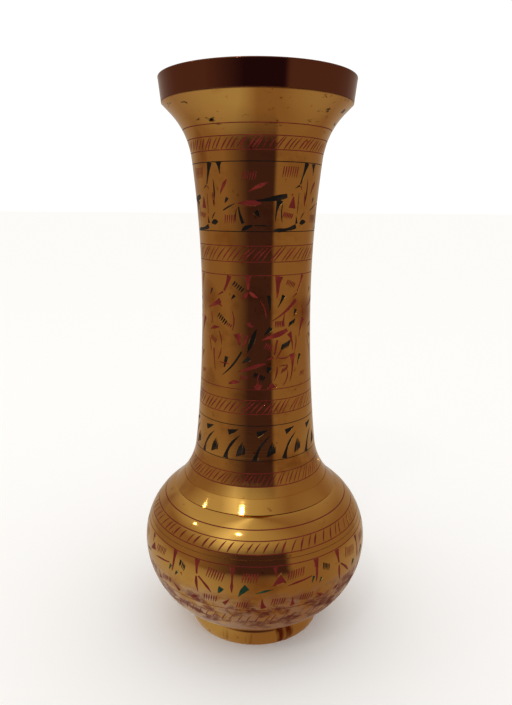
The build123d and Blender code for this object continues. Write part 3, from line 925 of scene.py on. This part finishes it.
def engraving(outline):
    """Every band of graver cuts by its brass piece, between turned lines counted from the lists above."""
    red, black, shoulder, bowl = outline.red_neck, outline.black_neck, outline.red_shoulder, outline.red_bowl

    def hatched(low, high, *settings):
        return hatching((high - low) / MM, low, float(outline.plain((low + high) / 2)[0]), *settings)

    def figured(motif, low, high, times, seed, weight):
        return repeated(motif, times, low, float(outline.plain((low + high) / 2)[0]), seed, weight)

    return {
        "neck": {
            "throat_hatching": hatched(red[2], red[1], 84, 2.9, 0.50, 1),
            "bird_panel": figured(bird_panel(), black[1], black[0], 4, 2, 1.35),
            "upper_hatching": hatched(red[4], red[3], 60, 4.2, 0.48, 3),
            "vine_panel": figured(vine_panel(), red[10], red[5], 3, 4, 1.5),
            "lower_hatching": hatched(red[8], red[9], 66, 3.7, 0.48, 5),
            "fern_panel": figured(fern_motif(), black[2], black[3], 13, 6, 1.05),
            "root_hatching": hatched(red[6], red[7], 86, 3.0, 0.42, 7),
        },
        "shoulder": {"shoulder_hatching": hatched(shoulder[2], shoulder[1], 78, 2.3, 0.58, 8, 0.3)},
        "bowl": {
            "belly_panel": figured(belly_panel(), bowl[1], bowl[0], 5, 9, 1.3),
            "foot_hatching": hatched(bowl[2], bowl[2] + FOOT_BAND, 85, 2.0, 0.36, 10, 0.1, 1.2),
        },
    }


def engrave(shell, outline, bands):
    """Cuts a shell's bands and fills each with its colours of lac."""
    sizes = bpy.context.scene.vase_sizes
    template = graver_template()
    everything = [entry for entries in bands.values() for entry in entries]
    for group in passes(everything):
        cutter = bend_cuts("graver", template, group, outline, -ABOVE, sizes.cut_depth, sizes.cut_depth)
        carve(shell, cutter)
    for band, entries in bands.items():
        for order, slot in enumerate((RED, BLACK, GREEN)):
            chosen = [entry for entry in entries if entry[0].colour == slot]
            if not chosen:
                continue
            # Crossing cuts show one colour, because no two are scraped to the same level.
            top = sizes.lac_recess + order * COLOUR_STEP
            bottom = FILL_DEPTH * sizes.cut_depth
            fill = bend_cuts(f"{slot}_{band}", template, chosen, outline, top, bottom, sizes.cut_depth)
            finish_piece(fill, finish(slot))


def stand_for(shell, node):
    """Finishes a turned shell and lets it stand for its CAD node."""
    finish_piece(shell, finish("brass"))
    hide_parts(node)


class VASE_OT_foot_ring(bpy.types.Operator):
    """Turn the ring that the vase stands on"""

    bl_idname = "vase.foot_ring"
    bl_label = "Foot Ring"
    bl_options = {"REGISTER", "UNDO"}

    def execute(self, context):
        outline = vase_outline()
        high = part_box("foot_ring")[1]
        bore = outline.foot_top_radius - FOOT_WALL
        soft = FOOT_ROUND
        bottom, swell_height = FOOT_BOTTOM_RADIUS, FOOT_SWELL_SHARE * outline.foot_top
        side = [(bottom - soft, 0.0), (bottom - 0.3 * soft, 0.3 * soft)]
        for z in np.linspace(soft, high.z, 13):
            edge, span = outline.foot_top_radius, high.z - swell_height
            if z < swell_height:
                edge, span = bottom, swell_height
            side.append((high.x - (high.x - edge) * ((z - swell_height) / span) ** 2, float(z)))
        section = side + [(bore, high.z), (bore, soft), (bore + soft, 0.0)]
        stand_for(turn("foot_ring_turned", [section], BODY_STEPS), "foot_ring")
        return {"FINISHED"}


class VASE_OT_bowl(bpy.types.Operator):
    """Turn the bowl and engrave its panel and foot band"""

    bl_idname = "vase.bowl"
    bl_label = "Bowl"
    bl_options = {"REGISTER", "UNDO"}

    def execute(self, context):
        outline = vase_outline()
        sizes = context.scene.vase_sizes
        foot, seam, top = outline.foot_top, outline.seam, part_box("bowl")[1].z
        floor = foot + FLOOR
        tongue = outline.bore(top) - FILM
        ring = outline.foot_top_radius - FOOT_WALL - FILM
        line = (sizes.line_width, sizes.line_depth)
        section = turned_side(outline, foot, seam, BODY_PITCH, outline.red_bowl, *line)
        section += [(tongue, seam), (tongue, top), (tongue - SPIGOT_WALL, top)]
        section += [(tongue - SPIGOT_WALL, seam - sizes.wall)]
        section += inner_side(outline, seam - sizes.wall, floor, INNER_PITCH)
        section += [(share * ring, floor) for share in (0.7, 0.4, 0.1)] + [(0.0, floor), (0.0, foot)]
        section += [(share * ring, foot) for share in (0.1, 0.4, 0.7)]
        section += [(ring - SPIGOT_WALL, foot), (ring - SPIGOT_WALL, foot - SPIGOT), (ring, foot - SPIGOT)]
        section += [(ring, foot)]
        shell = turn("bowl_turned", [section], BODY_STEPS)
        engrave(shell, outline, engraving(outline)["bowl"])
        stand_for(shell, "bowl")
        return {"FINISHED"}


class VASE_OT_shoulder(bpy.types.Operator):
    """Turn the beaded shoulder and cut its hatching"""

    bl_idname = "vase.shoulder"
    bl_label = "Shoulder"
    bl_options = {"REGISTER", "UNDO"}

    def execute(self, context):
        outline = vase_outline()
        sizes = context.scene.vase_sizes
        face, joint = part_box("shoulder")[0].z, outline.joint
        seat, spigot_top = joint - SPIGOT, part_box("bowl")[1].z
        lip = outline.shoulder_top_radius - SEAM_BEVEL
        line = (sizes.line_width, sizes.line_depth)
        section = turned_side(outline, face, joint - SEAM_BEVEL, SHOULDER_PITCH, outline.red_shoulder, *line)
        section += [(lip, joint), (lip - SPIGOT_WALL, joint), (lip - SPIGOT_WALL, seat)]
        section += inner_side(outline, seat, spigot_top, INNER_PITCH)
        section += [(outline.bore(spigot_top), face)]
        shell = turn("shoulder_turned", [section], BODY_STEPS)
        engrave(shell, outline, engraving(outline)["shoulder"])
        stand_for(shell, "shoulder")
        return {"FINISHED"}


class VASE_OT_neck(bpy.types.Operator):
    """Turn the long neck and engrave its bands and panels"""

    bl_idname = "vase.neck"
    bl_label = "Neck"
    bl_options = {"REGISTER", "UNDO"}

    def execute(self, context):
        outline = vase_outline()
        sizes = context.scene.vase_sizes
        low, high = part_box("neck")[0].z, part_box("neck")[1].z
        joint, rim = outline.joint, outline.rim_bottom
        face = joint + FILM
        lines = [*outline.red_neck, *outline.black_neck, outline.bare_neck]
        line = (sizes.line_width, sizes.line_depth)
        section = turned_side(outline, face + SEAM_BEVEL, rim, NECK_PITCH, lines, *line)
        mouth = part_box("mouth_rim")[1].x - RIM_WALL
        spigot = outline.shoulder_top_radius - SEAM_BEVEL - SPIGOT_WALL - FILM
        mouth_height = mouth + outline.cone + math.sqrt(2) * sizes.wall
        section += [(mouth + SPIGOT_WALL, rim), (mouth + SPIGOT_WALL, high)]
        section += [(mouth, high), (mouth, mouth_height)]
        section += inner_side(outline, outline.inner_cone_start, joint + SPIGOT, INNER_PITCH)
        section += [(spigot - SPIGOT_WALL, joint), (spigot - SPIGOT_WALL, low), (spigot, low), (spigot, face)]
        section += [(outline.flange_radius - SEAM_BEVEL, face)]
        shell = turn("neck_turned", [section], NECK_STEPS)
        engrave(shell, outline, engraving(outline)["neck"])
        stand_for(shell, "neck")
        return {"FINISHED"}


class VASE_OT_mouth_rim(bpy.types.Operator):
    """Turn the thick band round the mouth"""

    bl_idname = "vase.mouth_rim"
    bl_label = "Mouth Rim"
    bl_options = {"REGISTER", "UNDO"}

    def execute(self, context):
        outline = vase_outline()
        low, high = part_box("mouth_rim")
        inner = high.x - RIM_WALL
        bore, bore_top = inner + SPIGOT_WALL + FILM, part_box("neck")[1].z + FILM
        edge = RIM_ROUND
        bottom = outline.rim_radius
        section = [(bottom - RIM_STEP, low.z)]
        for share in (0.02, 0.3, 0.6, 0.9):
            section.append((bottom + (high.x - bottom) * share, low.z + (high.z - low.z) * share))
        for centre, start in ((high.x - edge, 0), (inner + edge, 90)):
            for step in range(6):
                angle = math.radians(start + 18 * step)
                section.append((centre + edge * math.cos(angle), high.z - edge + edge * math.sin(angle)))
        section += [(inner, bore_top), (bore, bore_top), (bore, low.z)]
        stand_for(turn("mouth_rim_turned", [section], NECK_STEPS), "mouth_rim")
        return {"FINISHED"}


class VASE_OT_solder(bpy.types.Operator):
    """Give the brazed seams their metal"""

    bl_idname = "vase.solder"
    bl_label = "Brazed Seams"
    bl_options = {"REGISTER", "UNDO"}

    def execute(self, context):
        for seam in ("foot_solder", "belly_solder", "neck_solder", "rim_solder"):
            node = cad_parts[seam]
            node.data.materials.clear()
            node.data.materials.append(finish("solder"))
        return {"FINISHED"}


class VASE_OT_lac_lines(bpy.types.Operator):
    """Fill the turned lines with lac"""

    bl_idname = "vase.lac_lines"
    bl_label = "Lac in the Lines"
    bl_options = {"REGISTER", "UNDO"}

    def execute(self, context):
        outline = vase_outline()
        rows = (
            ("red_lac_neck_lines", outline.red_neck, NECK_STEPS),
            ("black_lac_neck_lines", outline.black_neck, NECK_STEPS),
            ("red_lac_shoulder_lines", outline.red_shoulder, BODY_STEPS),
            ("red_lac_bowl_lines", outline.red_bowl, BODY_STEPS),
        )
        for node, heights, steps in rows:
            lines_piece(f"{node}_scraped", outline, heights, steps, node)
        return {"FINISHED"}


# ---- the stage ----------------------------------------------------------------------------------
# The room that the metal sees: what its few surfaces send out.
ROOM = {
    "shade": (0.06, 0.03, 0.05),
    "wood": (0.30, 0.20, 0.15),
    "plaster": (0.50, 0.45, 0.40),
    "ceiling": (0.60, 0.55, 0.45),
    "window": (1.10, 1.10, 1.00),
}
# Each ring goes once round the vase, in degrees to the right of the camera's side, from straight behind.
WALLS = (
    (-180, "plaster"),
    (-110, "wood"),
    (-60, "wood"),
    (-15, "shade"),
    (30, "shade"),
    (36, "wood"),
    (120, "wood"),
)
CEILING = ((-180, "plaster"), (-60, "ceiling"), (-35, "window"), (-10, "ceiling"), (60, "wood"))
TABLETOP = ((-180, "plaster"), (-40, "plaster"), (0, "wood"), (50, "wood"), (120, "plaster"))
# Degrees above the horizon, and the ring there.
SKY = ((0, WALLS), (20, WALLS), (40, CEILING))
# Metres out from the vase, and the ring there.
TABLE = ((0.10, TABLETOP), (0.40, WALLS))
TABLE_RADIUS, TABLE_DROP = 0.7, 0.5 * MM
PAPER_SIZE = 40  # metres, so that its far edge meets the sky
WHITE_SKY = 1.05
LENS, SENSOR = 30.88, 36
CAMERA_PLACE, DOWN, ROLL = (0.0, -0.2232, 0.1614), math.radians(13.47), 0.0062
LAMP_DISTANCE = 0.9
# Name, direction from the vase's middle, size in metres, watts.
LAMPS = (("window_glint", (-0.25, -0.57, 0.78), 0.06, 0.32), ("side_glint", (-0.80, -0.10, 0.60), 0.03, 0.08))


def azimuth(tree, place):
    """How far round a direction or a point lies: 0 and 1 behind the vase, 0.5 on the camera's side."""
    turned = add(tree, "ShaderNodeMapping", {"Rotation": (0, 0, math.pi / 2)}, {"Vector": place}, (-1200, 0))
    around = add(
        tree, "ShaderNodeTexGradient", {"gradient_type": "RADIAL"}, {"Vector": turned.outputs[0]}, (-1000, 0)
    )
    return around.outputs["Fac"]


def surroundings(tree, around, measure, layers):
    """The colour that the metal sees: a ramp round the vase for each layer, blended by the measure."""
    colour = None
    for number, (level, lights) in enumerate(layers):
        node = add(tree, "ShaderNodeValToRGB", {}, {"Fac": around}, (-800, -260 * number))
        elements = node.color_ramp.elements
        for degrees, _ in lights[1:]:
            elements.new(degrees / 360 + 0.5)
        for element, (_, light) in zip(elements, lights + lights[:1]):
            element.color = (*ROOM[light], 1)
        ring = node.outputs[0]
        if colour is None:
            colour, last = ring, level
            continue
        row = -260 * number
        between = {"From Min": last, "From Max": level}
        share = add(tree, "ShaderNodeMapRange", between, {"Value": measure}, (-500, row)).outputs[0]
        parts = {0: share, 6: colour, 7: ring}
        colour = add(tree, "ShaderNodeMix", {"data_type": "RGBA"}, parts, (-250, row)).outputs[2]
        last = level
    return colour


def lay_paper(colour):
    """A sheet of pale paper under the vase."""
    begin()
    bpy.ops.mesh.primitive_plane_add(size=PAPER_SIZE, location=(0, 0, 0))
    paper = bpy.context.object
    paper.name = "paper"
    material, tree = new_material("matt_paper")
    settings = {"Base Color": (*colour, 1), "Roughness": 1.0, "Specular IOR Level": 0.0}
    shader = add(tree, "ShaderNodeBsdfPrincipled", settings, at=(0, 0))
    add(tree, "ShaderNodeOutputMaterial", links={"Surface": shader.outputs[0]}, at=(300, 0))
    paper.data.materials.append(material)
    paper.visible_glossy = False


def lay_table():
    """What lies round the vase as the metal sees it: pale close by, dark in front, warm at the sides."""
    begin()
    bpy.ops.mesh.primitive_circle_add(
        vertices=64, radius=TABLE_RADIUS, fill_type="NGON", location=(0, 0, -TABLE_DROP)
    )
    table = bpy.context.object
    table.name = "table_reflection"
    material, tree = new_material("table_light")
    place = add(tree, "ShaderNodeTexCoord", at=(-1400, 0)).outputs["Object"]
    distance = add(tree, "ShaderNodeVectorMath", {"operation": "LENGTH"}, {0: place}, (-1200, -300))
    colour = surroundings(tree, azimuth(tree, place), distance.outputs["Value"], TABLE)
    glow = add(tree, "ShaderNodeEmission", {}, {"Color": colour}, (0, 0))
    add(tree, "ShaderNodeOutputMaterial", links={"Surface": glow.outputs[0]}, at=(300, 0))
    table.data.materials.append(material)
    for kind in ("camera", "diffuse", "transmission", "shadow"):
        setattr(table, f"visible_{kind}", False)


def light_room():
    """A soft white sky for paper and lac, and for the metal a room with a dark front and warm sides."""
    world = bpy.data.worlds.new("room")
    bpy.context.scene.world = world
    world.use_nodes = True
    world.cycles.sampling_method = "NONE"
    tree = world.node_tree
    tree.nodes.clear()
    place = add(tree, "ShaderNodeTexCoord", at=(-1400, 0)).outputs["Generated"]
    up = add(tree, "ShaderNodeSeparateXYZ", {}, {0: place}, (-1200, -300)).outputs["Z"]
    layers = [(math.sin(math.radians(degrees)), lights) for degrees, lights in SKY]
    colour = surroundings(tree, azimuth(tree, place), up, layers)
    rays = add(tree, "ShaderNodeLightPath", at=(-250, 400))
    seen = add(
        tree,
        "ShaderNodeMix",
        {"data_type": "RGBA", 6: (WHITE_SKY, WHITE_SKY, WHITE_SKY, 1)},
        {0: rays.outputs["Is Glossy Ray"], 7: colour},
        (0, 0),
    )
    sky = add(tree, "ShaderNodeBackground", {"Strength": 1.0}, {"Color": seen.outputs[2]}, (200, 0))
    add(tree, "ShaderNodeOutputWorld", links={"Surface": sky.outputs[0]}, at=(400, 0))


def hang_lamp(name, direction, size, power):
    """A small square light that faces the vase's middle."""
    middle = Vector((0, 0, 0.5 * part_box("mouth_rim")[1].z))
    place = middle + LAMP_DISTANCE * Vector(direction).normalized()
    light = bpy.data.lights.new(name, "AREA")
    light.size, light.energy = size, power
    lamp = bpy.data.objects.new(name, light)
    lamp.location = place
    lamp.rotation_euler = (middle - place).to_track_quat("-Z", "Y").to_euler()
    bpy.context.scene.collection.objects.link(lamp)


def place_camera(scene):
    """The camera stands a little above the mouth, close by, and looks down at the front."""
    camera = bpy.data.cameras.new("camera")
    camera.lens, camera.sensor_width = LENS, SENSOR
    holder = bpy.data.objects.new("camera", camera)
    scene.collection.objects.link(holder)
    tilt = Matrix.Rotation(math.pi / 2 - DOWN, 4, "X") @ Matrix.Rotation(ROLL, 4, "Z")
    holder.matrix_world = Matrix.Translation(CAMERA_PLACE) @ tilt
    scene.camera = holder


class VASE_OT_stage(bpy.types.Operator):
    """Lay the paper, set the lights and place the camera"""

    bl_idname = "vase.stage"
    bl_label = "Stage"
    bl_options = {"REGISTER", "UNDO"}

    def execute(self, context):
        lay_paper(context.scene.vase_colours.floor)
        lay_table()
        light_room()
        for lamp in LAMPS:
            hang_lamp(*lamp)
        place_camera(context.scene)
        context.scene.view_settings.view_transform = "Standard"
        return {"FINISHED"}


class VASE_PT_sidebar(bpy.types.Panel):
    """The vase's sizes, colours and pieces"""

    bl_idname = "VASE_PT_sidebar"
    bl_label = "Engraved Brass Vase"
    bl_space_type = "VIEW_3D"
    bl_region_type = "UI"
    bl_category = "Vase"

    def draw(self, context):
        scene = context.scene
        for group in (scene.vase_sizes, scene.vase_colours):
            box = self.layout.box()
            for name in group.__annotations__:
                box.prop(group, name)
        for operator in OPERATORS:
            self.layout.operator(operator.bl_idname)


OPERATORS = (
    VASE_OT_stage,
    VASE_OT_foot_ring,
    VASE_OT_bowl,
    VASE_OT_shoulder,
    VASE_OT_neck,
    VASE_OT_mouth_rim,
    VASE_OT_solder,
    VASE_OT_lac_lines,
)
CLASSES = (VaseSizes, VaseColours, *OPERATORS, VASE_PT_sidebar)


def register():
    """Adds the vase's classes and settings to Blender."""
    for kind in CLASSES:
        bpy.utils.register_class(kind)
    bpy.types.Scene.vase_sizes = bpy.props.PointerProperty(type=VaseSizes)
    bpy.types.Scene.vase_colours = bpy.props.PointerProperty(type=VaseColours)


def unregister():
    """Takes them away again."""
    del bpy.types.Scene.vase_colours
    del bpy.types.Scene.vase_sizes
    for kind in reversed(CLASSES):
        bpy.utils.unregister_class(kind)


def main():
    register()
    bpy.ops.vase.stage()
    bpy.ops.vase.foot_ring()
    bpy.ops.vase.bowl()
    bpy.ops.vase.shoulder()
    bpy.ops.vase.neck()
    bpy.ops.vase.mouth_rim()
    bpy.ops.vase.solder()
    bpy.ops.vase.lac_lines()


if __name__ == "__main__":
    main()
